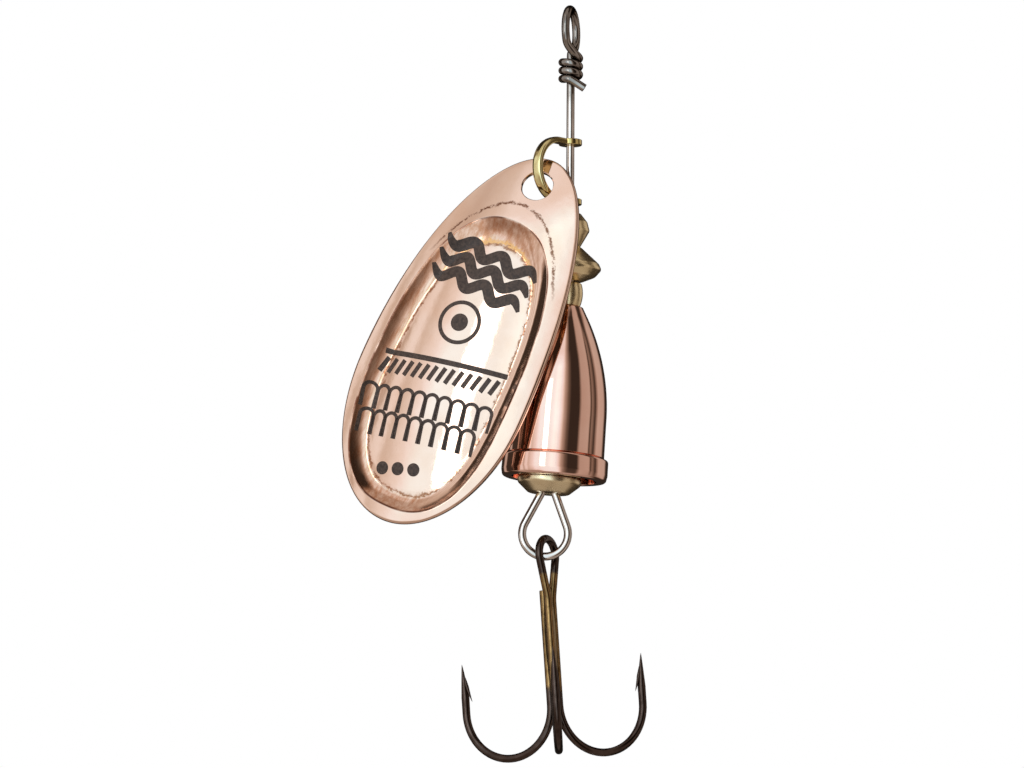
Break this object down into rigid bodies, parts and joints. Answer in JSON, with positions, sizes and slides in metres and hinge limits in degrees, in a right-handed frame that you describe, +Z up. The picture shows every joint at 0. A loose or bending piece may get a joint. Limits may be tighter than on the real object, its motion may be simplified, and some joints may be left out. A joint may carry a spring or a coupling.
{
  "type": "inline spinner",
  "caption": "Fishing lure with a dished oval blade that turns on a clevis round a wire shaft, above beads, a bell body and a hanging treble hook.",
  "frame": {"origin": "centre of the line eye at the top of the wire", "axes": "+Z up along the shaft towards the line, +X across the lower loop, -Y towards the side that the blade hangs on"},
  "size_m": [0.0263, 0.0138, 0.0652],
  "materials": {
    "steel_wire": "polished",
    "clevis_brass": "polished",
    "copper_plate": "mirror copper plate",
    "bead_brass": "turned and plated",
    "bell_copper": "mirror copper plate",
    "hook_bronze": "bronzed",
    "braze_metal": "flowed solder",
    "print_ink": "printed ink"
  },
  "bodies": {
    "wire": {"shaft_wire": "steel_wire", "bearing_bead": "bead_brass"},
    "clevis": {"clevis": "clevis_brass"},
    "blade": {"blade": "copper_plate"},
    "upper_bead": {"upper_bead": "bead_brass"},
    "main_bead": {"main_bead": "bead_brass"},
    "barrel_bead": {"barrel_bead": "bead_brass"},
    "bell": {"bell_body": "bell_copper"},
    "hook": {"double_hook": "hook_bronze", "single_hook": "hook_bronze", "braze": "braze_metal"}
  },
  "joints": [
    {"name": "clevis_spin", "type": "hinge", "parent": "wire", "child": "clevis", "pos_m": [0, 0, -0.01238], "axis": [0, 0, 1], "continuous": true},
    {"name": "blade_swing", "type": "hinge", "parent": "clevis", "child": "blade", "pos_m": [-0.0011, -0.00123, -0.01238], "axis": [-0.7431, 0.6691, 0], "range_deg": [-0.5, 50]},
    {"name": "upper_bead_spin", "type": "hinge", "parent": "wire", "child": "upper_bead", "pos_m": [0, 0, -0.01747], "axis": [0, 0, 1], "continuous": true},
    {"name": "main_bead_spin", "type": "hinge", "parent": "wire", "child": "main_bead", "pos_m": [0, 0, -0.02042], "axis": [0, 0, 1], "continuous": true},
    {"name": "barrel_bead_spin", "type": "hinge", "parent": "wire", "child": "barrel_bead", "pos_m": [-0.00008, 0, -0.02301], "axis": [0.075, 0, 0.9972], "continuous": true},
    {"name": "bell_spin", "type": "hinge", "parent": "wire", "child": "bell", "pos_m": [-0.00069, 0, -0.03103], "axis": [0.075, 0, 0.9972], "continuous": true},
    {"name": "hook_swing", "type": "hinge", "parent": "wire", "child": "hook", "pos_m": [-0.00181, 0, -0.04542], "axis": [0.9974, 0, 0.0715], "range_deg": [-85, 85]}
  ]
}
